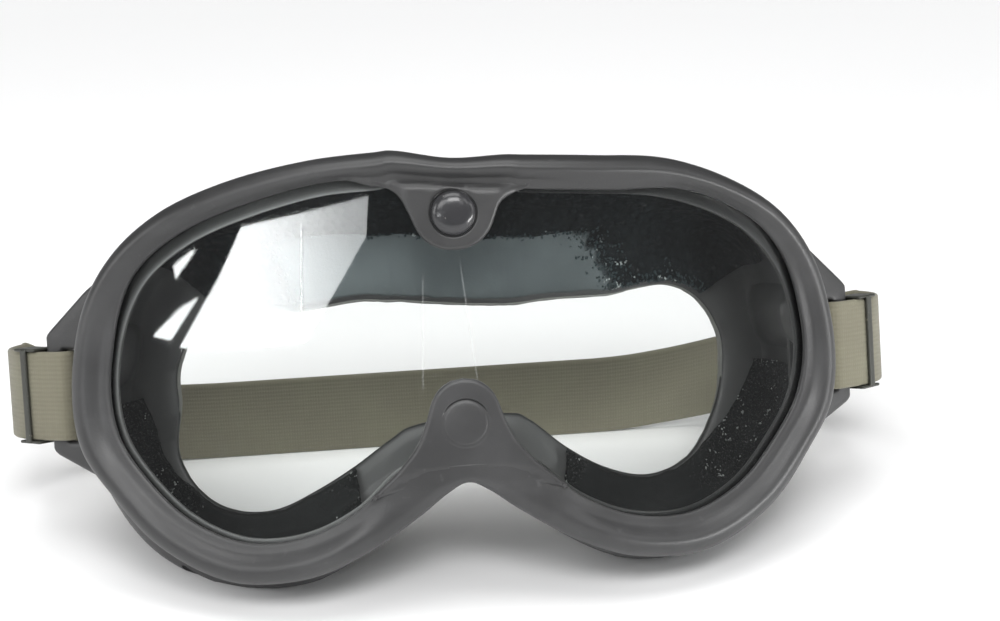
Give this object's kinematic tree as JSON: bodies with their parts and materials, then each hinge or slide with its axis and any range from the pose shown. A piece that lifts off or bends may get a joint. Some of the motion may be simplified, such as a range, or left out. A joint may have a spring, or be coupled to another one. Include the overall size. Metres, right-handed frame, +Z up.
{
  "type": "dust goggles",
  "caption": "Rubber-framed dust goggles with a bent clear lens held by press-snap flaps, foam vent filters and a webbing headband with sliding adjusters.",
  "frame": {"origin": "centre of the base of the bounding box, on the table the goggles stand on", "axes": "+X to the right of the picture along the lens, which is the wearer's left, +Y backwards from the lens to the headband, +Z up"},
  "size_m": [0.2258, 0.0925, 0.106],
  "materials": {
    "rubber": "satin moulded rubber",
    "rubber_cap": "satin dark coating",
    "lens": "clear polished sheet",
    "snap_metal": "black japanned",
    "slide_metal": "black enamel, worn",
    "webbing": "ribbed elastic weave",
    "felt": "soft felt",
    "foam": "open-cell foam"
  },
  "bodies": {
    "goggles": {"rubber_frame": "rubber", "lens": "lens", "top_snap_stud": "snap_metal", "top_snap_post": "snap_metal", "nose_snap_stud": "snap_metal", "nose_snap_post": "snap_metal", "brow_filter": "foam", "left_cheek_filter": "foam", "right_cheek_filter": "foam", "face_felt": "felt", "headband": "webbing"},
    "top_flap": {"top_flap": "rubber", "top_snap_cap": "snap_metal", "top_snap_socket": "snap_metal"},
    "nose_flap": {"nose_flap": "rubber", "nose_snap_cap": "rubber_cap", "nose_snap_socket": "snap_metal"},
    "left_slide": {"left_slide": "slide_metal", "left_sewn_end": "webbing"},
    "right_slide": {"right_slide": "slide_metal", "right_sewn_end": "webbing"}
  },
  "joints": [
    {"name": "top_flap_bend", "type": "hinge", "parent": "goggles", "child": "top_flap", "pos_m": [0, -0.01706, 0.09859], "axis": [-1, 0, 0], "range_deg": [0, 70], "stiffness_Nm_per_rad": 0.02},
    {"name": "nose_flap_bend", "type": "hinge", "parent": "goggles", "child": "nose_flap", "pos_m": [0, -0.03878, 0.03891], "axis": [1, 0, 0], "range_deg": [0, 70], "stiffness_Nm_per_rad": 0.02},
    {"name": "left_slide_travel", "type": "hinge", "parent": "goggles", "child": "left_slide", "pos_m": [-0.08815, 0.02524, 0.03338], "axis": [0, -0.342, -0.9397], "range_deg": [0, 52]},
    {"name": "right_slide_travel", "type": "hinge", "parent": "goggles", "child": "right_slide", "pos_m": [0.08815, 0.02524, 0.03338], "axis": [0, 0.342, 0.9397], "range_deg": [0, 52]}
  ]
}
